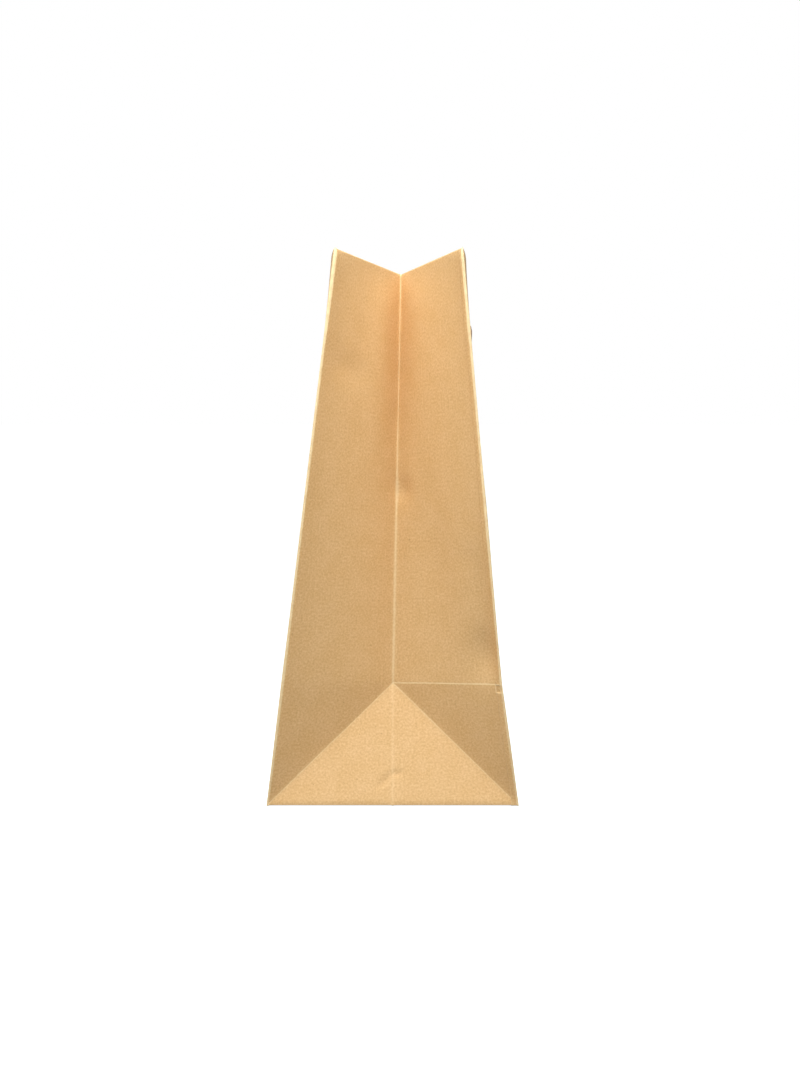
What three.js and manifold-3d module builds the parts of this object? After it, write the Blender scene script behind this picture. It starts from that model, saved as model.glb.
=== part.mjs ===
import * as THREE from 'three';
import { mergeVertices } from 'three/addons/utils/BufferGeometryUtils.js';
import Module from 'manifold-3d';

// A block-bottom kraft paper bag that stands open, with a ribbon loop hanging on each broad face.
// Millimetres, +Z up. X runs along the bag's width, so the gussets face +X and -X.
// Y runs along its depth: the front panel faces -Y and the back panel faces +Y.
// The origin is the middle of the underside.

// The paper bag
const WIDTH = 210;
const DEPTH = 120;
const PANEL_LENGTH = 262; // along the paper, from the base fold to the top fold
const PAPER = 0.25;
const HEM = 40; // paper turned in at the top, which doubles the wall there
const SEAM_LAP = 3.5; // the back panel's edge, seen wrapped round onto the +X gusset
const FLAP_OVERLAP = 15; // each long base flap runs this far past the middle
const STEP = 0.1; // length of the small ramps where one more layer of paper starts
const SHARPEST_LAP = 1.3; // the lap wraps tightly round the corner, in paper thicknesses

// Where the fold lines of a gusset meet in the standing bag: how far in from the gusset's or
// panel's foot, and up
const BASE_LEVEL = 2 * PAPER;
const APEX = { inward: 29.3, y: 0, z: 52.9 };
const NOTCH = { inward: 52.1, y: 3.9, z: 253.4 };
const FRONT_TOP = { inward: 34.1, z: 260.4 };
const BACK_FOLD = { inward: 8.5, z: 59.3 }; // the crease left by storing the bag folded flat
const BACK_TOP = { inward: 28.2, z: 260.6 };
const BOW = 5.8; // how far the middle of each panel's top edge bows outward
const BOW_POWER = 3; // the bow dies out quickly towards the base

// The two ribbon loops
const HOLE_SPACING = 70;
const HOLE_DROP = 30; // below the top edge, through the hem
const HOLE_RADIUS = 3;
const RIBBON_WIDTH = 10;
const RIBBON_THICKNESS = 0.5;
const NECK_WIDTH = 2.8; // the ribbon where it is gathered through the hole
const NECK_THICKNESS = 1.0;
const GATHER = 16; // the ribbon spreads to its full width over this length
const LOOP_BOTTOM = 76; // distance up the paper of the lowest point of the loop
const LEAN = THREE.MathUtils.degToRad(34); // how far the ribbon stands off the panel there
const GAP = 0.3; // clearance between the ribbon and the paper
const KNOT = { along: 5.6, through: 4.0, up: 4.6 };
const KNOT_DEPTH = 5.6; // from the panel's outer face to the middle of the knot
const KNOT_TILT = 0.2;
const KNOT_RIDGE = 0.1; // the wraps of the knot stand this far in and out, as a share
const TAIL = 15;

const HALF_WIDTH = WIDTH / 2;
const HALF_DEPTH = DEPTH / 2;
const GUSSET_STOPS = [0, SEAM_LAP, SEAM_LAP + STEP, 10, 20, 30, 40, 50, HALF_DEPTH];
const PANEL_COLUMNS = 14;
const UPPER_ROWS = [75, 95, 115, 135, 155, 175, 195, 210];
const HEM_ROWS = [PANEL_LENGTH - HEM, PANEL_LENGTH - HEM + STEP, 232, 242, 252, PANEL_LENGTH];
const ROWS = [...GUSSET_STOPS, ...UPPER_ROWS, ...HEM_ROWS];

const wasm = await Module();
wasm.setup();

const lerp = (a, b, t) => new THREE.Vector3().lerpVectors(a, b, t);

// Key points of the +X gusset in the part's own frame
const corner = (side) => new THREE.Vector3(HALF_WIDTH, side * HALF_DEPTH, BASE_LEVEL);
const apex = new THREE.Vector3(HALF_WIDTH - APEX.inward, APEX.y, APEX.z);
const notch = new THREE.Vector3(HALF_WIDTH - NOTCH.inward, NOTCH.y, NOTCH.z);
const frontTop = new THREE.Vector3(HALF_WIDTH, FRONT_TOP.inward - HALF_DEPTH, FRONT_TOP.z);
const backFold = new THREE.Vector3(HALF_WIDTH, HALF_DEPTH - BACK_FOLD.inward, BACK_FOLD.z);
const backTop = new THREE.Vector3(HALF_WIDTH, HALF_DEPTH - BACK_TOP.inward, BACK_TOP.z);

// The bag's upright corner at a distance up the paper. side is -1 at the front, 1 at the back.
function cornerEdge(side, up) {
  if (side < 0) return lerp(corner(-1), frontTop, up / PANEL_LENGTH);
  if (up < HALF_DEPTH) return lerp(corner(1), backFold, up / HALF_DEPTH);
  return lerp(backFold, backTop, (up - HALF_DEPTH) / (PANEL_LENGTH - HALF_DEPTH));
}

// A point of the +X gusset, at a distance in from the upright corner along the paper
function gussetPoint(side, inward, up) {
  const edge = cornerEdge(side, up);
  if (up >= HALF_DEPTH) {
    const crease = lerp(apex, notch, (up - HALF_DEPTH) / (PANEL_LENGTH - HALF_DEPTH));
    return lerp(edge, crease, inward / HALF_DEPTH);
  }
  const diagonal = lerp(corner(side), apex, up / HALF_DEPTH);
  if (inward <= up) return up === 0 ? edge : lerp(edge, diagonal, inward / up);
  const opposite = lerp(corner(-side), apex, up / HALF_DEPTH);
  const middle = lerp(diagonal, opposite, 0.5);
  return lerp(diagonal, middle, (inward - up) / (HALF_DEPTH - up));
}

// A point of the front or back panel
function panelPoint(side, x, up) {
  const edge = cornerEdge(side, up);
  const across = x / HALF_WIDTH;
  const bow = BOW * (up / PANEL_LENGTH) ** BOW_POWER * (1 - across * across);
  return new THREE.Vector3(x, edge.y + side * bow, edge.z);
}

const mirrored = (point) => new THREE.Vector3(-point.x, point.y, point.z);

// The bag's outline as a list of columns, anticlockwise seen from above. Each column gives its
// point at a distance up the paper, and says whether it lies under the seam lap.
function bagColumns() {
  const columns = [];
  const addPanel = (side) => {
    for (let i = 1; i < PANEL_COLUMNS; i += 1) {
      const x = -side * (-HALF_WIDTH + (WIDTH * i) / PANEL_COLUMNS);
      columns.push({ at: (up) => panelPoint(side, x, up), lapped: false });
    }
  };
  const addGusset = (end) => {
    const point = (side, inward, up) => {
      const p = gussetPoint(side, inward, up);
      return end > 0 ? p : mirrored(p);
    };
    const first = -end;
    GUSSET_STOPS.forEach((inward) => {
      columns.push({ at: (up) => point(first, inward, up), lapped: false });
    });
    GUSSET_STOPS.slice(0, -1).reverse().forEach((inward) => {
      const lapped = end > 0 && inward <= SEAM_LAP;
      columns.push({ at: (up) => point(-first, inward, up), lapped });
    });
  };
  addPanel(-1);
  addGusset(1);
  addPanel(1);
  addGusset(-1);
  return columns;
}

// Each quad is split along the paper's 45 degree fold where one runs through it.
function quadTriangles(p00, p10, p11, p01, splitUpward) {
  return splitUpward ? [[p00, p10, p11], [p00, p11, p01]] : [[p00, p10, p01], [p10, p11, p01]];
}

// The step that lies one unit inside every plane that meets at a vertex
function mitreStep(normals) {
  const m = new THREE.Matrix3().set(0, 0, 0, 0, 0, 0, 0, 0, 0);
  const rhs = new THREE.Vector3();
  const e = m.elements;
  normals.forEach((n) => {
    const c = [n.x, n.y, n.z];
    for (let row = 0; row < 3; row += 1) {
      for (let col = 0; col < 3; col += 1) e[col * 3 + row] += c[row] * c[col];
    }
    rhs.sub(n);
  });
  const damping = 1e-3 * normals.length;
  e[0] += damping;
  e[4] += damping;
  e[8] += damping;
  return rhs.applyMatrix3(m.invert());
}

function triangleNormal(a, b, c) {
  return b.clone().sub(a).cross(c.clone().sub(a)).normalize();
}

// The wall and floor as one closed skin: outer grid, inner grid, rim, underside and floor
function bagShell() {
  const columns = bagColumns();
  const n = columns.length;
  const rows = ROWS.length;
  const outer = ROWS.map((up) => columns.map((column) => column.at(up)));

  // The 45 degree folds climb from each base corner towards the middle of the gusset.
  const splitUp = (r, c) => {
    const start = outer[0][c];
    const onGusset = Math.abs(start.x) === HALF_WIDTH && Math.abs(outer[0][(c + 1) % n].x) === HALF_WIDTH;
    return onGusset && start.x * start.y < -1e-6;
  };

  const normals = outer.map((row) => row.map(() => []));
  for (let r = 0; r < rows - 1; r += 1) {
    for (let c = 0; c < n; c += 1) {
      const d = (c + 1) % n;
      const ids = quadTriangles([r, c], [r, d], [r + 1, d], [r + 1, c], splitUp(r, c));
      ids.forEach((triangle) => {
        const [a, b, k] = triangle.map(([i, j]) => outer[i][j]);
        const normal = triangleNormal(a, b, k);
        triangle.forEach(([i, j]) => normals[i][j].push(normal));
      });
    }
  }

  const inner = outer.map((row, r) => row.map((point, c) => {
    if (r === 0) {
      const shrinkX = (HALF_WIDTH - 2 * PAPER) / HALF_WIDTH;
      const shrinkY = (HALF_DEPTH - 2 * PAPER) / HALF_DEPTH;
      return new THREE.Vector3(point.x * shrinkX, point.y * shrinkY, point.z + PAPER);
    }
    const layers = ROWS[r] > PANEL_LENGTH - HEM ? 2 : 1;
    return point.clone().addScaledVector(mitreStep(normals[r][c]), PAPER * layers);
  }));
  const skin = outer.map((row, r) => row.map((point, c) => {
    if (!columns[c].lapped || r === 0) return point;
    const outward = mitreStep(normals[r][c]).negate();
    return point.clone().addScaledVector(outward.clampLength(0, SHARPEST_LAP), PAPER);
  }));

  const positions = [];
  const addTriangle = (a, b, c) => {
    [a, b, c].forEach((p) => positions.push(p.x, p.y, p.z));
  };
  for (let r = 0; r < rows - 1; r += 1) {
    for (let c = 0; c < n; c += 1) {
      const d = (c + 1) % n;
      const up = splitUp(r, c);
      quadTriangles(skin[r][c], skin[r][d], skin[r + 1][d], skin[r + 1][c], up)
        .forEach(([a, b, k]) => addTriangle(a, b, k));
      quadTriangles(inner[r][c], inner[r][d], inner[r + 1][d], inner[r + 1][c], up)
        .forEach(([a, b, k]) => addTriangle(a, k, b));
    }
  }
  const top = rows - 1;
  const under = new THREE.Vector3(0, 0, BASE_LEVEL);
  const floor = new THREE.Vector3(0, 0, BASE_LEVEL + PAPER);
  for (let c = 0; c < n; c += 1) {
    const d = (c + 1) % n;
    addTriangle(skin[top][c], skin[top][d], inner[top][d]);
    addTriangle(skin[top][c], inner[top][d], inner[top][c]);
    addTriangle(under, skin[0][d], skin[0][c]);
    addTriangle(floor, inner[0][c], inner[0][d]);
  }
  const geometry = new THREE.BufferGeometry();
  geometry.setAttribute('position', new THREE.Float32BufferAttribute(positions, 3));
  return geometry;
}

// One long base flap, with its ends folded back at 45 degrees. It spans its long fold line at
// y = side * HALF_DEPTH and the line `past` beyond the middle.
function baseFlap(side, past, low, high) {
  const long = HALF_WIDTH - PAPER / 2;
  const fold = HALF_DEPTH - PAPER / 2;
  const short = HALF_WIDTH - HALF_DEPTH - past;
  const shape = new THREE.Shape();
  shape.moveTo(-long, side * fold);
  shape.lineTo(long, side * fold);
  shape.lineTo(short, -side * past);
  shape.lineTo(-short, -side * past);
  shape.closePath();
  const geometry = new THREE.ExtrudeGeometry(shape, { depth: high - low, bevelEnabled: false });
  return geometry.translate(0, 0, low);
}

function solidOf(geometry) {
  const bare = geometry.index ? geometry.toNonIndexed() : geometry.clone();
  bare.deleteAttribute('normal');
  bare.deleteAttribute('uv');
  const merged = mergeVertices(bare, 1e-5);
  return new wasm.Manifold(new wasm.Mesh({
    numProp: 3,
    vertProperties: Float32Array.from(merged.attributes.position.array),
    triVerts: Uint32Array.from(merged.index.array),
  }));
}

function geometryOf(solid) {
  const mesh = solid.getMesh();
  const geometry = new THREE.BufferGeometry();
  geometry.setAttribute('position', new THREE.Float32BufferAttribute(mesh.vertProperties, 3));
  geometry.setIndex(Array.from(mesh.triVerts));
  geometry.computeVertexNormals();
  return geometry;
}

// A frame on a panel's outer face: the point, the outward normal and the downward direction
function panelFrame(side, x, up) {
  const step = 0.5;
  const point = panelPoint(side, x, up);
  const across = panelPoint(side, x + step, up).sub(panelPoint(side, x - step, up)).normalize();
  const upward = panelPoint(side, x, up + step).sub(panelPoint(side, x, up - step)).normalize();
  const normal = across.clone().cross(upward).multiplyScalar(-side).normalize();
  return { point, normal, upward };
}

const HOLE_UP = PANEL_LENGTH - HOLE_DROP;

function holeCutter(side, x) {
  const { point, normal } = panelFrame(side, x, HOLE_UP);
  const cutter = new THREE.CylinderGeometry(HOLE_RADIUS, HOLE_RADIUS, 8, 32);
  cutter.applyQuaternion(new THREE.Quaternion().setFromUnitVectors(new THREE.Vector3(0, 1, 0), normal));
  return cutter.translate(point.x, point.y, point.z);
}

function bagGeometry() {
  let solid = solidOf(bagShell());
  const inside = BASE_LEVEL + PAPER / 2;
  const flaps = [
    baseFlap(1, FLAP_OVERLAP, PAPER, inside),
    baseFlap(-1, FLAP_OVERLAP, 0, PAPER),
    baseFlap(-1, -FLAP_OVERLAP, PAPER / 2, inside),
  ];
  flaps.forEach((flap) => {
    solid = solid.add(solidOf(flap));
  });
  [-1, 1].forEach((side) => {
    [-1, 1].forEach((hand) => {
      solid = solid.subtract(solidOf(holeCutter(side, (hand * HOLE_SPACING) / 2)));
    });
  });
  return geometryOf(solid);
}

// The radius at the lowest point of a catenary that is `half` away from its middle line at the
// height `rise`
function catenaryBend(half, rise) {
  let low = 0;
  let high = half;
  for (let i = 0; i < 50; i += 1) {
    const bend = (low + high) / 2;
    if (bend * Math.acosh(1 + rise / bend) < half) low = bend;
    else high = bend;
  }
  return high;
}

// The loop's line on the panel, a catenary from a hole (share 0) down to its lowest point
// (share 1). Gives the place across and up the panel, and the direction of travel.
const LOOP_RISE = HOLE_UP - HOLE_RADIUS - LOOP_BOTTOM;
const LOOP_BEND = catenaryBend(HOLE_SPACING / 2, LOOP_RISE);
const HALF_LOOP = Math.sqrt((LOOP_RISE + LOOP_BEND) ** 2 - LOOP_BEND ** 2);

function loopPoint(share) {
  const fromBottom = HALF_LOOP * (1 - share);
  const slant = Math.hypot(LOOP_BEND, fromBottom);
  return {
    x: LOOP_BEND * Math.asinh(fromBottom / LOOP_BEND),
    up: LOOP_BOTTOM + slant - LOOP_BEND,
    alongX: -LOOP_BEND / slant,
    alongUp: -fromBottom / slant,
  };
}

// Stations of half a loop on the x > 0 side, from inside the knot to the middle of the loop.
// Each has a centre, a width direction, a thickness direction, a width and a thickness.
function halfLoop(side) {
  const stations = [];
  const neck = panelFrame(side, HOLE_SPACING / 2, HOLE_UP);
  const alongX = new THREE.Vector3(1, 0, 0);
  const wrap = NECK_THICKNESS / 2 + GAP; // radius of the turn over the hole's lower rim
  const place = (out, up) => neck.point.clone()
    .addScaledVector(neck.normal, out)
    .addScaledVector(neck.upward, up);
  const rim = -HOLE_RADIUS;
  [-KNOT_DEPTH, -KNOT_DEPTH / 2].forEach((out) => {
    stations.push({
      centre: place(out, rim + wrap),
      wide: alongX.clone(),
      thick: neck.upward.clone(),
      width: NECK_WIDTH,
      thickness: NECK_THICKNESS,
    });
  });
  const turns = 6;
  for (let i = 0; i <= turns; i += 1) {
    const angle = (Math.PI / 2) * (i / turns);
    const radial = neck.normal.clone().multiplyScalar(Math.sin(angle))
      .addScaledVector(neck.upward, Math.cos(angle));
    stations.push({
      centre: place(0, rim).addScaledVector(radial, wrap),
      wide: alongX.clone(),
      thick: radial,
      width: NECK_WIDTH,
      thickness: NECK_THICKNESS,
    });
  }

  const count = 36;
  for (let i = 1; i <= count; i += 1) {
    const share = i / count;
    const distance = share * HALF_LOOP;
    const at = loopPoint(share);
    const { point, normal, upward } = panelFrame(side, at.x, at.up);
    const along = upward.clone().multiplyScalar(at.alongUp)
      .addScaledVector(alongX, at.alongX).normalize();
    const outer = along.clone().cross(normal).multiplyScalar(side).normalize();
    const spread = THREE.MathUtils.smoothstep(distance, 0, GATHER);
    const width = THREE.MathUtils.lerp(NECK_WIDTH, RIBBON_WIDTH, spread);
    const thickness = THREE.MathUtils.lerp(NECK_THICKNESS, RIBBON_THICKNESS, spread);
    const lean = LEAN * share ** 3;
    const wide = outer.clone().multiplyScalar(Math.cos(lean))
      .addScaledVector(normal, Math.sin(lean));
    const thick = along.clone().cross(wide).multiplyScalar(-side).normalize();
    const off = GAP + (width / 2) * Math.sin(lean) + (thickness / 2) * Math.cos(lean);
    stations.push({
      centre: point.clone().addScaledVector(normal, off),
      wide,
      thick,
      width,
      thickness,
    });
  }
  return stations;
}

const mirrorStation = (station) => ({
  centre: mirrored(station.centre),
  wide: mirrored(station.wide),
  thick: mirrored(station.thick),
  width: station.width,
  thickness: station.thickness,
});

// A strip with a rounded section swept through its stations and closed at both ends
function sweepStrip(stations) {
  const around = 8;
  const rings = stations.map((station) => {
    const ring = [];
    for (let i = 0; i < around; i += 1) {
      const angle = (2 * Math.PI * (i + 0.5)) / around;
      const c = Math.cos(angle);
      const s = Math.sin(angle);
      ring.push(station.centre.clone()
        .addScaledVector(station.wide, (station.width / 2) * Math.sign(c) * Math.sqrt(Math.abs(c)))
        .addScaledVector(station.thick, (station.thickness / 2) * Math.sign(s) * Math.sqrt(Math.abs(s))));
    }
    return ring;
  });
  const positions = [];
  const addTriangle = (a, b, c) => {
    [a, b, c].forEach((p) => positions.push(p.x, p.y, p.z));
  };
  for (let r = 0; r < rings.length - 1; r += 1) {
    for (let i = 0; i < around; i += 1) {
      const j = (i + 1) % around;
      addTriangle(rings[r][i], rings[r][j], rings[r + 1][j]);
      addTriangle(rings[r][i], rings[r + 1][j], rings[r + 1][i]);
    }
  }
  const last = rings.length - 1;
  for (let i = 0; i < around; i += 1) {
    const j = (i + 1) % around;
    addTriangle(stations[0].centre, rings[0][j], rings[0][i]);
    addTriangle(stations[last].centre, rings[last][i], rings[last][j]);
  }
  const geometry = new THREE.BufferGeometry();
  geometry.setAttribute('position', new THREE.Float32BufferAttribute(positions, 3));
  return geometry;
}

// Geometry with its triangles turned round if they enclose a negative volume
function facingOut(geometry) {
  const p = geometry.attributes.position;
  let volume = 0;
  const [a, b, c] = [new THREE.Vector3(), new THREE.Vector3(), new THREE.Vector3()];
  for (let i = 0; i < p.count; i += 3) {
    a.fromBufferAttribute(p, i);
    b.fromBufferAttribute(p, i + 1);
    c.fromBufferAttribute(p, i + 2);
    volume += a.dot(b.cross(c));
  }
  if (volume > 0) return geometry;
  for (let i = 0; i < p.count; i += 3) {
    b.fromBufferAttribute(p, i + 1);
    c.fromBufferAttribute(p, i + 2);
    p.setXYZ(i + 1, c.x, c.y, c.z);
    p.setXYZ(i + 2, b.x, b.y, b.z);
  }
  return geometry;
}

// The knot that stops the ribbon inside the bag, and the short tail below it
function knot(side, x) {
  const { point, normal, upward } = panelFrame(side, x, HOLE_UP);
  const centre = point.clone().addScaledVector(normal, -KNOT_DEPTH).addScaledVector(upward, -1.5);
  const alongX = new THREE.Vector3(1, 0, 0);
  const basis = new THREE.Matrix4().makeBasis(alongX, normal.clone(), alongX.clone().cross(normal));
  const ball = new THREE.SphereGeometry(1, 18, 12);
  ball.rotateX(KNOT_TILT);
  const p = ball.attributes.position;
  for (let i = 0; i < p.count; i += 1) {
    const turn = Math.atan2(p.getY(i), p.getX(i)) + 1.2 * p.getZ(i);
    const ridge = 1 + KNOT_RIDGE * Math.cos(3 * turn) * (1 - p.getZ(i) ** 2);
    p.setXYZ(i, p.getX(i) * ridge, p.getY(i) * ridge, p.getZ(i) * ridge);
  }
  ball.scale(KNOT.along, KNOT.through, KNOT.up);
  ball.applyMatrix4(basis).translate(centre.x, centre.y, centre.z);
  const tail = [];
  for (let i = 0; i <= 8; i += 1) {
    const share = i / 8;
    tail.push({
      centre: centre.clone()
        .addScaledVector(upward, -1 - TAIL * share)
        .addScaledVector(normal, -1 - 2.5 * share)
        .addScaledVector(alongX, Math.sign(x) * 3 * share),
      wide: alongX.clone(),
      thick: normal.clone(),
      width: THREE.MathUtils.lerp(NECK_WIDTH, RIBBON_WIDTH, Math.min(1, 1.6 * share)),
      thickness: THREE.MathUtils.lerp(NECK_THICKNESS, RIBBON_THICKNESS, Math.min(1, 1.6 * share)),
    });
  }
  return solidOf(facingOut(ball.toNonIndexed()))
    .add(solidOf(facingOut(sweepStrip(tail))));
}

function ribbonGeometry(side) {
  const half = halfLoop(side);
  const other = half.slice(0, -1).reverse().map(mirrorStation);
  let solid = solidOf(facingOut(sweepStrip([...half, ...other])));
  [-1, 1].forEach((hand) => {
    solid = solid.add(knot(side, (hand * HOLE_SPACING) / 2));
  });
  return geometryOf(solid);
}

function addMesh(group, name, geometry, material) {
  const mesh = new THREE.Mesh(geometry, material);
  mesh.name = name;
  group.add(mesh);
}

const kraft = new THREE.MeshStandardMaterial({ color: 0xd9b382, roughness: 0.85, metalness: 0 });
const ribbon = new THREE.MeshStandardMaterial({ color: 0xb98d5c, roughness: 0.55, metalness: 0 });

const bag = new THREE.Group();
addMesh(bag, 'bag_body', bagGeometry(), kraft);
addMesh(bag, 'ribbon_handle_front', ribbonGeometry(-1), ribbon);
addMesh(bag, 'ribbon_handle_back', ribbonGeometry(1), ribbon);

export default bag;
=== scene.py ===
import math

import bmesh
import bpy
from mathutils import Matrix, Vector, noise


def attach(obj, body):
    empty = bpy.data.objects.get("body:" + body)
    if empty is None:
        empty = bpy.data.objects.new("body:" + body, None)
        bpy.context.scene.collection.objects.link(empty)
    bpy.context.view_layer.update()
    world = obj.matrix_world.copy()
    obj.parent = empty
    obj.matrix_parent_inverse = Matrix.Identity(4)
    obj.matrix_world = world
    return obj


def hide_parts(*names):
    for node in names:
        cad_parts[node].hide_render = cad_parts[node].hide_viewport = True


# A block-bottom kraft paper bag standing open, seen square on to one gusset.
# Metres. X runs along the bag's width with the gussets at each end, the front panel faces -Y,
# and the back panel faces +Y. The photograph looks along -X.

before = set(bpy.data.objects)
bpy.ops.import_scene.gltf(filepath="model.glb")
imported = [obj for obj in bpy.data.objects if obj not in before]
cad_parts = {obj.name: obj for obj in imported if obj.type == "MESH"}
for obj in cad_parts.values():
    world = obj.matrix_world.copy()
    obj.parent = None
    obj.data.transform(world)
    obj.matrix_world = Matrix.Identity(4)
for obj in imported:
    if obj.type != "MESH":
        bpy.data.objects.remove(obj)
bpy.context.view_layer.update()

MM = 0.001
WIDTH = 210 * MM
DEPTH = 120 * MM
PANEL_LENGTH = 262 * MM
HEM = 40 * MM
GLUE_FLAP = 15 * MM
SEAM_LAP = 3.5 * MM
BASE_FLAP = 75 * MM
PAPER = 0.18 * MM
# the step between two layers of paper that lie on each other
LAYER = 0.2 * MM
HALF_WIDTH = WIDTH / 2
HALF_DEPTH = DEPTH / 2

# Where the blank's upright folds lie, measured along its width from the seam corner
RIGHT_GUSSET_END = DEPTH
FRONT_END = DEPTH + WIDTH
LEFT_GUSSET_END = 2 * DEPTH + WIDTH
BACK_END = 2 * DEPTH + 2 * WIDTH
RIGHT_CREASE = HALF_DEPTH
LEFT_CREASE = FRONT_END + HALF_DEPTH
GRID = 3 * MM

# Where the fold lines of the right-hand gusset meet in the standing bag
BASE_LEVEL = 0.5 * MM
APEX = Vector((HALF_WIDTH - 29.3 * MM, 0, 52.9 * MM))
NOTCH = Vector((HALF_WIDTH - 52.1 * MM, 3.9 * MM, 253.4 * MM))
FRONT_FOOT = Vector((HALF_WIDTH, -HALF_DEPTH, BASE_LEVEL))
FRONT_TOP = Vector((HALF_WIDTH, -25.9 * MM, 260.4 * MM))
BACK_FOOT = Vector((HALF_WIDTH, HALF_DEPTH, BASE_LEVEL))
BACK_FOLD = Vector((HALF_WIDTH, 51.5 * MM, 59.3 * MM))
BACK_TOP = Vector((HALF_WIDTH, 31.8 * MM, 260.6 * MM))
# how far the middle of each panel's mouth stands out, and how soon this fades downwards
BOW = 5.8 * MM
BOW_POWER = 3

# Shapes pressed into the photographed gusset, in millimetres on the blank: the centre, the half
# sizes and the height of each broad one, then the two ends, the width and the height of each
# wrinkle
GUSSET_HUMPS = (
    ((37, 116), (12, 36), -2.6),
    ((7, 74), (7, 8), -2.6),
    ((6, 98), (6, 17), -1.3),
    ((56, 155), (4, 4.5), -1.6),
    ((45, 218), (8, 34), 0.9),
    ((76, 215), (8, 34), 2.0),
)
GUSSET_WRINKLES = (
    ((68, 7), (60, 16), 1.0, -0.8),
    ((62, 15.5), (54, 15), 1.0, -0.7),
    ((33, 226), (22, 219), 2.5, -0.35),
    ((116, 214), (84, 206), 5, -0.9),
    ((9, 118), (22, 122), 2.5, -0.3),
)
# half the width of an upright fold's pale band, painted for worn paper and as a painted highlight,
# and how far the paper stands out beside it
FOLD_BAND = 0.8 * MM
CORNER_ROUNDING = 0.6 * MM
HEM_CORNER_ROUNDING = 0.9 * MM
LAP_NOTCH = 3.2 * MM
# how far the pale line along a cut edge reaches into the paper
PALE_EDGE = 0.5 * MM
SCORE = 0.5 * MM
CREASE_SCORE = 1 * MM
HEM_TURN = 0.4 * MM

# Each ribbon is gathered through its holes and hangs as a loop whose lower edge leans off the panel
HOLE_SPACING = 70 * MM
HOLE_UP = PANEL_LENGTH - 30 * MM
HOLE_RADIUS = 3 * MM
RIBBON_WIDTH = 10 * MM
RIBBON_THICKNESS = 0.4 * MM
NECK_WIDTH = 2.8 * MM
GATHER = 16 * MM
LOOP_BOTTOM = 76 * MM
LEAN = math.radians(34)
# the air between the ribbon and the panel it hangs against
GAP = 0.2 * MM
TURN_RADIUS = 0.6 * MM
KNOT_DEPTH = 5.6 * MM
KNOT_SIZE = Vector((5.6, 4.0, 4.6)) * MM
TAIL = 15 * MM
LOOP_RISE = HOLE_UP - HOLE_RADIUS - LOOP_BOTTOM


def srgb(text):
    """The linear colour of an sRGB hex value."""
    parts = [int(text[i:i + 2], 16) / 255 for i in (1, 3, 5)]
    linear = [c / 12.92 if c <= 0.04045 else ((c + 0.055) / 1.055) ** 2.4 for c in parts]
    return (*linear, 1)


def smooth(x, low, high):
    """0 below low, 1 above high, and a smooth climb between them."""
    t = min(1, max(0, (x - low) / (high - low)))
    return t * t * (3 - 2 * t)


def make_camera():
    """The photograph's view: square on to the right gusset and a little above the middle."""
    focal_pixels = 1187
    image_height = 1066
    pitch = math.radians(6.87)
    data = bpy.data.cameras.new("photo_camera")
    data.sensor_width = 36
    data.lens = focal_pixels / image_height * data.sensor_width
    data.clip_start = 0.01
    data.clip_end = 50
    camera = bpy.data.objects.new("photo_camera", data)
    distance = 0.5452
    camera.location = (HALF_WIDTH + distance, 0.0035, 0.1968)
    camera.rotation_euler = (math.pi / 2 - pitch, 0, math.pi / 2)
    bpy.context.scene.collection.objects.link(camera)
    bpy.context.scene.camera = camera


# The folded sheet


def mirrored(point):
    """The same place on the left gusset."""
    return Vector((-point.x, point.y, point.z))


def upright_fold(side, up):
    """The fold between a panel and the right gusset; side is -1 at the front and 1 at the back."""
    if side < 0:
        return FRONT_FOOT.lerp(FRONT_TOP, up / PANEL_LENGTH)
    if up < HALF_DEPTH:
        return BACK_FOOT.lerp(BACK_FOLD, up / HALF_DEPTH)
    return BACK_FOLD.lerp(BACK_TOP, (up - HALF_DEPTH) / (PANEL_LENGTH - HALF_DEPTH))


def right_gusset_line(up):
    """The right gusset's outline at one height, as pairs of distance from the back and point."""
    front = upright_fold(-1, up)
    back = upright_fold(1, up)
    if up >= HALF_DEPTH:
        crease = APEX.lerp(NOTCH, (up - HALF_DEPTH) / (PANEL_LENGTH - HALF_DEPTH))
        return [(0, back), (HALF_DEPTH, crease), (DEPTH, front)]
    if up < 1e-9:
        return [(0, back), (DEPTH, front)]
    share = up / HALF_DEPTH
    back_crease = BACK_FOOT.lerp(APEX, share)
    front_crease = FRONT_FOOT.lerp(APEX, share)
    return [(0, back), (up, back_crease), (DEPTH - up, front_crease), (DEPTH, front)]


def ring(up, inset):
    """The wall's outline at one height, moved inwards by inset, as (distance, point) pairs."""
    right = right_gusset_line(up)
    left = [(FRONT_END + DEPTH - d, mirrored(p)) for d, p in reversed(right)]
    line = right + left
    if not inset:
        return line
    moved = []
    count = len(line)
    for i, (distance, point) in enumerate(line):
        before = (point - line[i - 1][1]).to_2d().normalized()
        after = (line[(i + 1) % count][1] - point).to_2d().normalized()
        inward_before = Vector((before.y, -before.x))
        inward_after = Vector((after.y, -after.x))
        mitre = (inward_before + inward_after) / max(0.05, 1 + inward_before.dot(inward_after))
        moved.append((distance, point + mitre.to_3d() * inset))
    return moved


def wall_point(along, up, inset):
    """A point of the wall from its place on the blank, with along from 0 to BACK_END."""
    line = ring(up, inset)
    line = line + [(BACK_END, line[0][1])]
    for (d0, p0), (d1, p1) in zip(line, line[1:]):
        if along <= d1 + 1e-9:
            point = p0.lerp(p1, (along - d0) / (d1 - d0))
            break
    side = panel_side(along)
    if side:
        across = point.x / HALF_WIDTH
        point.y += side * BOW * (up / PANEL_LENGTH) ** BOW_POWER * (1 - across * across)
    return point


def panel_side(along):
    """-1 on the front panel, 1 on the back panel and 0 on a gusset."""
    if RIGHT_GUSSET_END < along < FRONT_END:
        return -1
    if LEFT_GUSSET_END < along < BACK_END:
        return 1
    return 0


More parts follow.
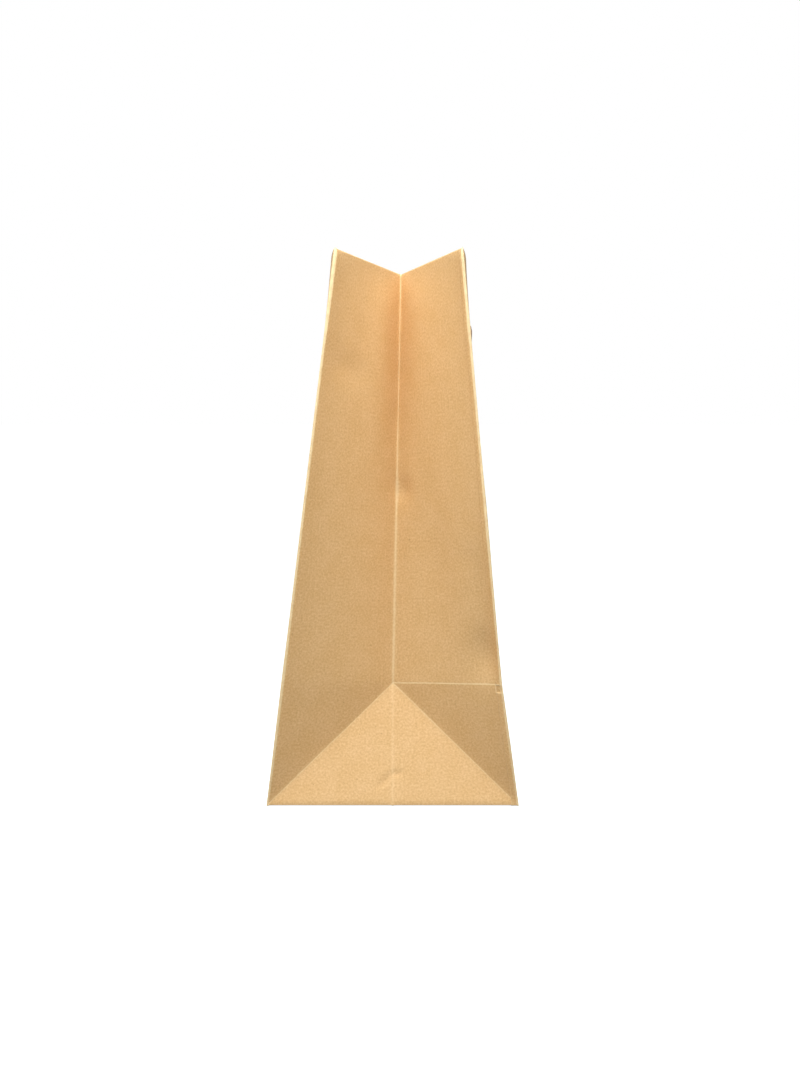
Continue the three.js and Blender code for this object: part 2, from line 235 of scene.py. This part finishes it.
def base_point(along, down):
    """A point of the pasted base, which the blank's lower margin folds into like an envelope."""
    wrapped = along % BACK_END
    side = panel_side(wrapped)
    if side == 0:
        end = 1 if wrapped <= RIGHT_GUSSET_END else -1
        start = 0 if end > 0 else FRONT_END
        y = (HALF_DEPTH - (wrapped - start)) * end
        return Vector((end * (HALF_WIDTH - down), y, 3 * LAYER))
    start = RIGHT_GUSSET_END if side < 0 else LEFT_GUSSET_END
    across = wrapped - start
    from_corner = min(across, WIDTH - across)
    end = (1 if across < HALF_WIDTH else -1) * -side
    level = 0 if side < 0 else LAYER
    if from_corner < down - 1e-9:
        depth = HALF_DEPTH - from_corner
        return Vector((end * (HALF_WIDTH - down), side * depth, 2 * LAYER))
    x = end * (HALF_WIDTH - from_corner)
    return Vector((x, side * (HALF_DEPTH - down), level))


def fold(along, up):
    """Where a point of the flat blank goes in the standing bag.

    The glue flap goes inside the back panel. The lap goes round the corner onto the gusset, and
    lies tighter above the crease than below it.
    """
    inset = 0
    place = along
    if along < 0:
        inset = LAYER * smooth(-along, 0, 0.6 * MM)
        place = along + BACK_END
    elif along > BACK_END:
        inset = -LAYER * (0.9 if up < HALF_DEPTH - SCORE else 0.25)
        place = along - BACK_END
    if up < 0:
        point = base_point(along, -up)
        return point + Vector((0, 0, inset))
    if up > PANEL_LENGTH:
        over = up - PANEL_LENGTH
        inset += 1.3 * LAYER * smooth(over, 0, SCORE)
        up = PANEL_LENGTH - max(0, over - HEM_TURN)
    return wall_point(place, up, inset)


def fold_lines():
    """The fold lines of the blank: two ends, and how pale the paper is painted along the line, for
    wear and as a painted highlight.
    """
    low = -BASE_FLAP
    high = PANEL_LENGTH + HEM
    lines = []
    # each line's paleness stands for worn paper together with a painted highlight where the rounded
    # fold catches light
    for x in (0, RIGHT_GUSSET_END, FRONT_END, LEFT_GUSSET_END, BACK_END):
        for shift in (-FOLD_BAND, 0, FOLD_BAND):
            lines.append(((x + shift, low), (x + shift, high), 0.9 if shift == 0 else 0.6))
    for crease in (RIGHT_CREASE, LEFT_CREASE):
        lines.append(((crease, HALF_DEPTH), (crease, PANEL_LENGTH), 0.5))
        lines.append(((crease, 0), (crease, HALF_DEPTH), 0.2))
        for hand in (-1, 1):
            lines.append(((crease + hand * HALF_DEPTH, 0), (crease, HALF_DEPTH), 0.45))
    lines.append(((-GLUE_FLAP, HALF_DEPTH), (RIGHT_CREASE, HALF_DEPTH), 0.9))
    lines.append(((LEFT_CREASE, HALF_DEPTH), (BACK_END + SEAM_LAP, HALF_DEPTH), 0.9))
    lines.append(((-GLUE_FLAP, 0), (BACK_END + SEAM_LAP, 0), 0.9))
    lines.append(((-GLUE_FLAP, PANEL_LENGTH), (BACK_END + SEAM_LAP, PANEL_LENGTH), 0.7))
    lap_edge = BACK_END + SEAM_LAP
    notch_foot = HALF_DEPTH - SCORE - LAP_NOTCH
    lines.append(((lap_edge, 0), (lap_edge, notch_foot), 0.4))
    lines.append(((BACK_END + FOLD_BAND, notch_foot), (lap_edge, notch_foot), 0.8))
    lines.append(((SEAM_LAP, notch_foot), (SEAM_LAP, HALF_DEPTH), 0.6))
    return [(Vector(a), Vector(b), wear_and_highlight) for a, b, wear_and_highlight in lines]


def rub_and_highlight_at(spot, lines):
    """How pale the paper is painted at a place on the blank, for wear and as a painted highlight:
    only on a fold line itself.
    """
    most = 0
    for a, b, wear_and_highlight in lines:
        along = (spot - a).dot(b - a) / (b - a).length_squared
        away = (spot - a.lerp(b, min(1, max(0, along)))).length
        if away < 0.05 * MM:
            most = max(most, wear_and_highlight)
    return most


def cut(bm, point, normal, inside=None):
    """Scores a line into the flat blank, where inside says which faces it runs through."""
    faces = [f for f in bm.faces if inside is None or inside(f.calc_center_median())]
    edges = {e for f in faces for e in f.edges}
    verts = {v for f in faces for v in f.verts}
    bmesh.ops.bisect_plane(
        bm, geom=[*verts, *edges, *faces], dist=1e-6,
        plane_co=(*point, 0), plane_no=(*normal, 0),
    )


def score(bm, point, normal, inside=None, half=SCORE):
    """A fold line with one more line on each side, so that the fold is rounded."""
    n = Vector(normal).normalized()
    for shift in (-half, 0, half):
        cut(bm, Vector(point) + n * shift, n, inside)


def score_blank(bm):
    """Every fold line of the blank."""
    for x in (0, RIGHT_GUSSET_END, FRONT_END, LEFT_GUSSET_END, BACK_END):
        score(bm, (x, 0), (1, 0), half=FOLD_BAND)
        score(bm, (x, 0), (1, 0), half=FOLD_BAND + 0.4 * MM)
    for x in (RIGHT_CREASE, LEFT_CREASE):
        score(bm, (x, 0), (1, 0), half=CREASE_SCORE)
    for y in (0, PANEL_LENGTH):
        score(bm, (0, y), (0, 1))
    score(bm, (0, HALF_DEPTH), (0, 1), lambda c: on_creased_side(c.x))
    for start in (0, FRONT_END):
        def rising(c, start=start):
            return start < c.x < start + HALF_DEPTH and 0 < c.y < HALF_DEPTH

        def falling(c, start=start):
            return start + HALF_DEPTH < c.x < start + DEPTH and 0 < c.y < HALF_DEPTH

        score(bm, (start, 0), (1, -1), rising)
        score(bm, (start + DEPTH, 0), (1, 1), falling)
    for start in (RIGHT_GUSSET_END, LEFT_GUSSET_END):
        middle = start + HALF_WIDTH
        end = start + WIDTH

        def first_base_half(c, low=start, high=middle):
            return low < c.x < high and c.y < 0

        def second_base_half(c, low=middle, high=end):
            return low < c.x < high and c.y < 0

        cut(bm, (start, 0), Vector((1, 1)).normalized(), first_base_half)
        cut(bm, (end, 0), Vector((1, -1)).normalized(), second_base_half)


def on_creased_side(along):
    """True on the back panel and on the half of each gusset next to it."""
    return along < RIGHT_CREASE or along > LEFT_CREASE


def punch_holes(bm):
    """The four ribbon holes, cut through the wall and its turned-in top."""
    sides = 16
    places = []
    for start in (RIGHT_GUSSET_END, LEFT_GUSSET_END):
        middle = start + HALF_WIDTH
        for hand in (-1, 1):
            for up in (HOLE_UP, 2 * PANEL_LENGTH - HOLE_UP):
                places.append(Vector((middle + hand * HOLE_SPACING / 2, up, 0)))
    for place in places:
        def near(c, place=place):
            return (c - place).length < HOLE_RADIUS + GRID

        def within(c, place=place):
            return (c - place).length < HOLE_RADIUS * 0.98

        for i in range(sides):
            angle = 2 * math.pi * i / sides
            direction = Vector((math.cos(angle), math.sin(angle)))
            cut(bm, place.to_2d() + direction * HOLE_RADIUS, direction, near)
        inner = [f for f in bm.faces if within(f.calc_center_median())]
        bmesh.ops.delete(bm, geom=inner, context="FACES")


def notch_lap(bm):
    """The small notch cut in the seam lap, just under the crease across the gusset."""
    top = HALF_DEPTH - SCORE
    bottom = top - LAP_NOTCH

    def in_lap(c):
        return c.x > BACK_END

    def under_notch(c):
        return 0 < c.x < 2 * SEAM_LAP and bottom - GRID < c.y < HALF_DEPTH

    def in_notch(c):
        return c.x > BACK_END + FOLD_BAND and bottom < c.y < top

    for y in (bottom - PALE_EDGE, bottom, top):
        cut(bm, (0, y), (0, 1), in_lap)
    cut(bm, (BACK_END + SEAM_LAP - PALE_EDGE, 0), (1, 0))
    score(bm, (SEAM_LAP, 0), (1, 0), under_notch)
    removed = [f for f in bm.faces if in_notch(f.calc_center_median())]
    bmesh.ops.delete(bm, geom=removed, context="FACES")


def refine(bm, low, high, step):
    """Cuts a part of the blank finer, for a wrinkle narrower than the grid."""
    def inside(c):
        return low[0] < c.x < high[0] and low[1] < c.y < high[1]

    for i in range(1, round((high[0] - low[0]) / step)):
        cut(bm, (low[0] + i * step, 0), (1, 0), inside)
    for i in range(1, round((high[1] - low[1]) / step)):
        cut(bm, (0, low[1] + i * step), (0, 1), inside)


def hump(along, up, centre, size, height):
    """A smooth rise out of the paper, or a dent for a negative height."""
    a = (along - centre[0] * MM) / (size[0] * MM)
    u = (up - centre[1] * MM) / (size[1] * MM)
    return height * MM * math.exp(-(a * a + u * u) / 2)


def wrinkle(along, up, start, end, width, height):
    """A ridge between two places, dying out towards both, or a furrow for a negative height."""
    a = Vector(start) * MM
    b = Vector(end) * MM
    line = b - a
    share = (Vector((along, up)) - a).dot(line) / line.length_squared
    if not 0 < share < 1:
        return 0
    away = (Vector((along, up)) - a.lerp(b, share)).length / (width * MM)
    return height * MM * math.sin(math.pi * share) * math.exp(-away * away / 2)


def buckles(along, up):
    """How far the photographed gusset's bulges, dents and wrinkles stand out of its plane."""
    along %= BACK_END
    out = 0
    for centre, size, height in GUSSET_HUMPS:
        out += hump(along, up, centre, size, height)
    for start, end, width, height in GUSSET_WRINKLES:
        out += wrinkle(along, up, start, end, width, height)
    beside_fold = smooth(along, 0, 5 * MM) * smooth(DEPTH - along, 0, 5 * MM)
    return out * beside_fold * smooth(PANEL_LENGTH - up, 0, 20 * MM)


def rounded_corner(along, up):
    """How far a gusset stands out beside its upright folds, which are too thick to fold sharply.

    The doubled paper of the hem makes the top of each fold thicker.
    """
    wrapped = along % BACK_END
    if along < 0 or panel_side(wrapped):
        return 0
    from_fold = min(abs(wrapped - x) for x in (0, RIGHT_GUSSET_END, FRONT_END, LEFT_GUSSET_END))
    hem = smooth(up, PANEL_LENGTH - HEM - 7 * MM, PANEL_LENGTH - HEM + 6 * MM)
    thick = CORNER_ROUNDING + (HEM_CORNER_ROUNDING - CORNER_ROUNDING) * hem
    reach = from_fold / (7 * MM)
    ends = smooth(up, 0, 25 * MM) * smooth(PANEL_LENGTH - up, 0, 1.5 * MM)
    return thick * smooth(from_fold, 0, FOLD_BAND) * math.exp(-reach * reach) * ends


def wave(along, up):
    """The paper's own slight waviness, in metres out of its plane."""
    if up > PANEL_LENGTH:
        up = 2 * PANEL_LENGTH - up
    turn = 2 * math.pi * along / BACK_END
    radius = BACK_END / (2 * math.pi)
    place = Vector((math.cos(turn) * radius, math.sin(turn) * radius, up))
    broad = noise.noise(place / (55 * MM))
    fine = noise.noise(place / (17 * MM) + Vector((7, 3, 5)))
    calm = smooth(up, 0, 20 * MM)
    own = (0.35 * MM * broad + 0.06 * MM * fine) * calm
    return own + buckles(along, up) + rounded_corner(along, up)


def soften_folds(bm, wear_and_highlight):
    """Rounds each fold line that has a close line of the sheet on both sides."""
    moves = []
    for v in bm.verts:
        if not v[wear_and_highlight]:
            continue
        beside = [e.other_vert(v) for e in v.link_edges if e.calc_length() < 1.6 * MM]
        beside = [other for other in beside if not other[wear_and_highlight]]
        if len(beside) > 1:
            middle = sum((other.co for other in beside), Vector()) / len(beside)
            moves.append((v, v.co.lerp(middle, 0.7)))
    for v, place in moves:
        v.co = place


def make_bag(paper):
    """The bag's one sheet, scored flat and then folded up."""
    low = Vector((-GLUE_FLAP, -BASE_FLAP))
    high = Vector((BACK_END + SEAM_LAP, PANEL_LENGTH + HEM + 1 * MM))
    size = high - low
    bm = bmesh.new()
    uv = bm.loops.layers.uv.new("paper")
    # the painted paleness of each fold line, for wear and as a painted highlight, which also marks
    # the fold lines that get rounded
    wear_and_highlight = bm.verts.layers.float.new("fold_wear_and_painted_highlight")
    # whole squares, so that the fold lines fall on the grid, and the last column then cut to size
    columns = math.ceil(size.x / GRID)
    rows = round(size.y / GRID)
    half = Vector((columns, rows)) * GRID / 2
    place = Matrix.Translation((*(low + half), 0)) @ Matrix.Diagonal((*half, 1, 1))
    bmesh.ops.create_grid(bm, x_segments=columns, y_segments=rows, size=1, matrix=place)
    bmesh.ops.bisect_plane(
        bm, geom=[*bm.verts, *bm.edges, *bm.faces], dist=1e-6,
        plane_co=(high.x, 0, 0), plane_no=(1, 0, 0), clear_outer=True,
    )
    score_blank(bm)
    punch_holes(bm)
    notch_lap(bm)
    refine(bm, (42 * MM, 3 * MM), (69 * MM, 24 * MM), 1 * MM)
    refine(bm, (45 * MM, 143 * MM), (60 * MM, 167 * MM), 1.5 * MM)
    for face in bm.faces:
        face.smooth = True
        for loop in face.loops:
            loop[uv].uv = loop.vert.co.to_2d()
    flat = {v: v.co.to_2d() for v in bm.verts}
    for v, spot in flat.items():
        v.co = fold(spot.x, spot.y)
    bm.normal_update()
    # the blank's faces look into the bag, except those of the turned-in top
    for v, spot in flat.items():
        if spot.y > 0:
            outward = 1 if spot.y > PANEL_LENGTH else -1
            v.co += v.normal * outward * wave(spot.x, spot.y)
    lines = fold_lines()
    for v, spot in flat.items():
        v[wear_and_highlight] = rub_and_highlight_at(spot, lines)
    soften_folds(bm, wear_and_highlight)
    mesh = bpy.data.meshes.new("folded_kraft_sheet")
    bm.to_mesh(mesh)
    bm.free()
    mesh.materials.append(paper)
    bag = bpy.data.objects.new("folded_kraft_sheet", mesh)
    bpy.context.scene.collection.objects.link(bag)
    solid = bag.modifiers.new("paper_thickness", "SOLIDIFY")
    solid.thickness = PAPER
    solid.offset = 0
    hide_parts("bag_body")
    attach(bag, "root")
    return bag


# The ribbon loops


def catenary_bend(half, rise):
    """The radius at the lowest point of a catenary that is half away from it, at height rise."""
    low = 0
    high = half
    for _ in range(50):
        bend = (low + high) / 2
        if bend * math.acosh(1 + rise / bend) < half:
            low = bend
        else:
            high = bend
    return high


LOOP_BEND = catenary_bend(HOLE_SPACING / 2, LOOP_RISE)
HALF_LOOP = math.sqrt((LOOP_RISE + LOOP_BEND) ** 2 - LOOP_BEND ** 2)


def panel_frame(side, x, up):
    """A panel's outer face at a place: the point, its outward normal and its upward direction."""
    start = RIGHT_GUSSET_END if side < 0 else LEFT_GUSSET_END
    middle = start + HALF_WIDTH
    step = 0.5 * MM

    def at(across, height):
        return wall_point(middle + side * across, height, 0)

    across = (at(x + step, up) - at(x - step, up)).normalized()
    upward = (at(x, up + step) - at(x, up - step)).normalized()
    normal = across.cross(upward).normalized() * -side
    return at(x, up), normal, upward


def ribbon_station(side, distance):
    """The ribbon's place and directions at a signed distance from the lowest point of its loop.

    Gives the centre, the direction across the ribbon, its face normal and how gathered it is.
    """
    hand = 1 if distance >= 0 else -1
    far = abs(distance)
    along_x = Vector((hand, 0, 0))
    if far > HALF_LOOP:
        point, normal, upward = panel_frame(side, hand * HOLE_SPACING / 2, HOLE_UP)
        rim = point - upward * HOLE_RADIUS
        past = far - HALF_LOOP
        angle = max(0, math.pi / 2 - past / TURN_RADIUS)
        straight = max(0, past - TURN_RADIUS * math.pi / 2)
        radial = normal * math.sin(angle) + upward * math.cos(angle)
        return rim + radial * TURN_RADIUS - normal * straight, along_x, radial, 1
    slant = math.hypot(LOOP_BEND, far)
    x = LOOP_BEND * math.asinh(far / LOOP_BEND)
    up = LOOP_BOTTOM + slant - LOOP_BEND
    point, normal, upward = panel_frame(side, hand * x, up)
    along = (upward * -far - along_x * LOOP_BEND).normalized()
    outer = along.cross(normal).normalized() * side * hand
    share = 1 - far / HALF_LOOP
    lean = LEAN * share ** 3
    across = outer * math.cos(lean) + normal * math.sin(lean)
    face = along.cross(across).normalized() * -side * hand
    gathered = 1 - smooth(HALF_LOOP - far, 0, GATHER)
    settle = (TURN_RADIUS - GAP - RIBBON_THICKNESS / 2) * gathered
    rest = GAP + settle + RIBBON_WIDTH / 2 * math.sin(lean) + RIBBON_THICKNESS / 2 * math.cos(lean)
    return point + normal * rest, across, face, gathered


def across_ribbon(share, gathered):
    """Offsets across and out of the ribbon, for share from -1 at one edge to 1 at the other.

    The gathered ribbon is pleated, so its length across stays the same.
    """
    width = RIBBON_WIDTH + (NECK_WIDTH - RIBBON_WIDTH) * gathered
    pleats = 8
    rise = math.sqrt(max(0, RIBBON_WIDTH ** 2 - width ** 2)) / (4 * pleats)
    return share * width / 2, rise * math.sin(share * pleats * math.pi) * smooth(gathered, 0, 0.25)


def add_strip(bm, uv, low, high, place):
    """A flat strip of ribbon from one length to another, moved by place(share, length)."""
    count = round((high - low) / (1.5 * MM))
    middle = Matrix.Translation((0, (low + high) / 2, 0))
    strip = middle @ Matrix.Diagonal((1, (high - low) / 2, 1, 1))
    made = bmesh.ops.create_grid(bm, x_segments=40, y_segments=count, size=1, matrix=strip)
    verts = made["verts"]
    faces = {f for v in verts for f in v.link_faces}
    for face in faces:
        for loop in face.loops:
            loop[uv].uv = (loop.vert.co.x * RIBBON_WIDTH / 2, loop.vert.co.y)
    for v in verts:
        v.co = place(v.co.x, v.co.y)
    bmesh.ops.recalc_face_normals(bm, faces=list(faces))
    bmesh.ops.solidify(bm, geom=list(faces), thickness=RIBBON_THICKNESS)


def add_knot(bm, uv, side, hand):
    """The knot inside the bag that stops the ribbon, with its short cut tail."""
    point, normal, upward = panel_frame(side, hand * HOLE_SPACING / 2, HOLE_UP)
    centre = point - normal * KNOT_DEPTH - upward * 1.5 * MM
    along_x = Vector((1, 0, 0))
    basis = Matrix((along_x, normal, along_x.cross(normal))).transposed()
    made = bmesh.ops.create_uvsphere(bm, u_segments=48, v_segments=28, radius=1)
    for v in made["verts"]:
        d = v.co.copy()
        turn = math.atan2(d.y, d.x) + 1.4 * d.z
        ridge = 1 + (0.12 * math.cos(3 * turn) + 0.025 * math.cos(15 * turn)) * (1 - d.z ** 2)
        v.co = centre + basis @ Vector([a * b * ridge for a, b in zip(d, KNOT_SIZE)])
    for face in {f for v in made["verts"] for f in v.link_faces}:
        for loop in face.loops:
            away = loop.vert.co - centre
            loop[uv].uv = (away.x, away.z)

    def tail(share, length):
        loose = smooth(length, 2 * MM, 12 * MM)
        across, out = across_ribbon(share, 1 - loose)
        place = centre - upward * (1 * MM + length) - normal * (1 * MM + 0.17 * length)
        place += along_x * (hand * 0.2 * length + across)
        return place + normal * out

    add_strip(bm, uv, 0, TAIL, tail)


def make_ribbon(side, name, node_name, cloth):
    """One ribbon: a loop hanging down the panel, through two holes, with a knot at each end."""
    bm = bmesh.new()
    uv = bm.loops.layers.uv.new("ribbon")
    half = HALF_LOOP + TURN_RADIUS * math.pi / 2 + KNOT_DEPTH

    def loop_place(share, length):
        centre, across, face, gathered = ribbon_station(side, length)
        sideways, out = across_ribbon(share, gathered)
        return centre + across * sideways + face * out

    add_strip(bm, uv, -half, half, loop_place)
    for hand in (-1, 1):
        add_knot(bm, uv, side, hand)
    for face in bm.faces:
        face.smooth = True
    mesh = bpy.data.meshes.new(name)
    bm.to_mesh(mesh)
    bm.free()
    mesh.materials.append(cloth)
    ribbon = bpy.data.objects.new(name, mesh)
    bpy.context.scene.collection.objects.link(ribbon)
    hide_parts(node_name)
    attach(ribbon, "root")
    return ribbon


def new_material(name):
    """An empty node material and its tree."""
    material = bpy.data.materials.new(name)
    material.use_nodes = True
    material.node_tree.nodes.clear()
    return material, material.node_tree


def node(tree, kind, inputs=None, **settings):
    """Adds a node. inputs gives each socket a value, or another node's output to link."""
    made = tree.nodes.new(kind)
    for key, value in settings.items():
        setattr(made, key, value)
    for key, value in (inputs or {}).items():
        socket = made.inputs[key]
        if isinstance(value, bpy.types.NodeSocket):
            tree.links.new(value, socket)
        else:
            socket.default_value = value
    return made


def kraft_paper():
    """Unbleached kraft paper, machine finished: a matt, faintly streaked and mottled golden brown.

    Short fibres and a few dark specks show close up. The folds are painted paler, partly for worn
    paper and partly as a painted highlight where the rounded folds catch light.
    """
    material, tree = new_material("unbleached_kraft_paper")
    uv = node(tree, "ShaderNodeUVMap", uv_map="paper").outputs["UV"]
    per_mm = 1000

    def pattern(period_mm, stretch=(1, 1, 1), detail=3.0, roughness=0.5):
        scaled = node(
            tree, "ShaderNodeMapping",
            {"Vector": uv, "Scale": [per_mm / period_mm / s for s in stretch]},
        )
        made = node(
            tree, "ShaderNodeTexNoise",
            {"Vector": scaled.outputs[0], "Scale": 1.0, "Detail": detail, "Roughness": roughness},
        )
        return made.outputs["Fac"]

    def spread(value, low, high, out_low, out_high):
        ends = {"From Min": low, "From Max": high, "To Min": out_low, "To Max": out_high}
        return node(tree, "ShaderNodeMapRange", {"Value": value, **ends}).outputs[0]

    def mixed(factor, first, second, blend="MIX"):
        made = node(
            tree, "ShaderNodeMix", {0: factor, 6: first, 7: second},
            data_type="RGBA", blend_type=blend,
        )
        return made.outputs[2]

    # cloudy formation of the sheet, a sandy grain of short fibres, and faint machine streaks;
    # real fibres are under 0.1 mm wide, so the grain is drawn 1 mm coarse to show in the render
    clouds = spread(pattern(11), 0.35, 0.65, 0, 1)
    grain = spread(pattern(1.0, detail=3, roughness=0.55), 0.3, 0.7, 0, 1)
    streaks = spread(pattern(1.4, stretch=(1, 12, 1)), 0.35, 0.65, 0, 0.12)
    specks = spread(pattern(1.3, detail=1), 0.70, 0.78, 0, 0.4)

    colour = mixed(clouds, srgb("#ddb57c"), srgb("#e1ba83"))
    colour = mixed(spread(grain, 0, 0.5, 0.42, 0), colour, srgb("#bf9259"))
    colour = mixed(spread(grain, 0.5, 1, 0, 0.45), colour, srgb("#f4d6a1"))
    colour = mixed(streaks, colour, srgb("#cfa368"))
    colour = mixed(specks, colour, srgb("#a9773f"))
    # the fold lines are painted paler: worn paper plus a painted highlight for the light that the
    # rounded folds catch
    fold_rub_and_highlight = node(tree, "ShaderNodeAttribute", attribute_name="fold_wear_and_painted_highlight").outputs["Fac"]
    patchy = spread(pattern(5), 0.3, 0.6, 0.6, 1.0)
    rub_and_highlight_share = node(tree, "ShaderNodeMath", {0: fold_rub_and_highlight, 1: patchy}, operation="MULTIPLY").outputs[0]
    colour = mixed(rub_and_highlight_share, colour, srgb("#ffe9b8"))

    height = node(tree, "ShaderNodeMath", {0: grain, 1: clouds}, operation="ADD").outputs[0]
    bump = node(
        tree, "ShaderNodeBump", {"Height": height, "Strength": 0.25, "Distance": 0.00006},
    )
    rough = spread(grain, 0, 1, 0.74, 0.64)
    shader = node(
        tree, "ShaderNodeBsdfPrincipled",
        {"Base Color": colour, "Roughness": rough, "Normal": bump.outputs[0]},
    )
    node(tree, "ShaderNodeOutputMaterial", {"Surface": shader.outputs[0]})
    return material


def grosgrain():
    """Woven ribbon with cross ribs: its colour is painted lighter on the rib tops and darker
    between them, as painted light and shade; the ribs catch a soft sheen, and the woven edges are
    smooth.
    """
    material, tree = new_material("brown_grosgrain_ribbon")
    uv = node(tree, "ShaderNodeUVMap", uv_map="ribbon").outputs["UV"]
    place = node(tree, "ShaderNodeSeparateXYZ", {0: uv})

    def calc(operation, first, second=0.0):
        return node(tree, "ShaderNodeMath", {0: first, 1: second}, operation=operation).outputs[0]

    # one rib each 0.85 mm of length, and warp threads each 0.3 mm of width
    ribs = calc("SINE", calc("MULTIPLY", place.outputs["Y"], 2 * math.pi / (0.85 * MM)))
    warp = calc("SINE", calc("MULTIPLY", place.outputs["X"], 2 * math.pi / (0.3 * MM)))
    from_middle = calc("ABSOLUTE", place.outputs["X"])
    woven_edge = calc("GREATER_THAN", from_middle, RIBBON_WIDTH / 2 - 0.5 * MM)
    inside = calc("SUBTRACT", 1.0, woven_edge)
    rib_height = calc("MULTIPLY", ribs, inside)
    height = calc("ADD", rib_height, calc("MULTIPLY", warp, 0.25))
    # the ribbon's brown, painted lighter on the rib tops and darker in the hollows between them: a
    # painted highlight and painted shade
    painted_rib_shading = node(
        tree, "ShaderNodeMapRange",
        {"Value": height, "From Min": -1.2, "From Max": 1.2, "To Min": 0.0, "To Max": 1.0},
    ).outputs[0]
    colour = node(
        tree, "ShaderNodeMix", {0: painted_rib_shading, 6: srgb("#94683c"), 7: srgb("#c4996a")}, data_type="RGBA",
    ).outputs[2]
    bump = node(tree, "ShaderNodeBump", {"Height": height, "Strength": 0.8, "Distance": 0.08 * MM})
    shader = node(
        tree, "ShaderNodeBsdfPrincipled",
        {
            "Base Color": colour,
            "Roughness": 0.5,
            "Sheen Weight": 0.3,
            "Sheen Roughness": 0.4,
            "Normal": bump.outputs[0],
        },
    )
    node(tree, "ShaderNodeOutputMaterial", {"Surface": shader.outputs[0]})
    return material


def make_stage():
    """A plain white floor under soft light from above."""
    mesh = bpy.data.meshes.new("floor")
    bm = bmesh.new()
    bmesh.ops.create_grid(bm, x_segments=1, y_segments=1, size=6)
    bm.to_mesh(mesh)
    bm.free()
    floor = bpy.data.objects.new("floor", mesh)
    bpy.context.scene.collection.objects.link(floor)
    material, tree = new_material("white_floor")
    shade = node(tree, "ShaderNodeBsdfDiffuse", {"Color": (0.35, 0.35, 0.35, 1)})
    seen = node(tree, "ShaderNodeBsdfDiffuse", {"Color": (0.8, 0.8, 0.8, 1)})
    glow = node(tree, "ShaderNodeEmission", {"Color": (1, 1, 1, 1), "Strength": 0.82})
    both = node(tree, "ShaderNodeAddShader", {0: seen.outputs[0], 1: glow.outputs[0]})
    path = node(tree, "ShaderNodeLightPath")
    mixed = node(
        tree, "ShaderNodeMixShader",
        {0: path.outputs["Is Camera Ray"], 1: shade.outputs[0], 2: both.outputs[0]},
    )
    node(tree, "ShaderNodeOutputMaterial", {"Surface": mixed.outputs[0]})
    mesh.materials.append(material)

    world = bpy.data.worlds.new("studio")
    world.use_nodes = True
    tree = world.node_tree
    tree.nodes.clear()
    soft = node(tree, "ShaderNodeBackground", {"Color": (1, 1, 1, 1), "Strength": 0.29})
    white = node(tree, "ShaderNodeBackground", {"Color": (1, 1, 1, 1), "Strength": 1})
    path = node(tree, "ShaderNodeLightPath")
    mixed = node(
        tree, "ShaderNodeMixShader",
        {0: path.outputs["Is Camera Ray"], 1: soft.outputs[0], 2: white.outputs[0]},
    )
    node(tree, "ShaderNodeOutputWorld", {"Surface": mixed.outputs[0]})
    bpy.context.scene.world = world

    add_lamp("overhead_softbox", place=(0.32, 0, 0.50), size=0.35, power=1.96)
    add_lamp("left_softbox", place=(0.35, -0.40, 0.60), size=0.4, power=1.52)
    add_lamp("right_softbox", place=(0.35, 0.40, 0.60), size=0.4, power=1.1)


def add_lamp(name, place, size, power):
    """A square softbox, in metres and watts, aimed at the middle of the photographed gusset."""
    target = (0.1, 0, 0.15)
    data = bpy.data.lights.new(name, "AREA")
    data.shape = "SQUARE"
    data.size = size
    data.energy = power
    lamp = bpy.data.objects.new(name, data)
    lamp.visible_camera = False
    lamp.location = place
    lamp.rotation_euler = (Vector(target) - Vector(place)).to_track_quat("-Z", "Y").to_euler()
    bpy.context.scene.collection.objects.link(lamp)


make_camera()
make_bag(kraft_paper())
RIBBON_CLOTH = grosgrain()
make_ribbon(-1, "front_ribbon", "ribbon_handle_front", RIBBON_CLOTH)
make_ribbon(1, "back_ribbon", "ribbon_handle_back", RIBBON_CLOTH)
make_stage()
bpy.context.scene.view_settings.view_transform = "Standard"
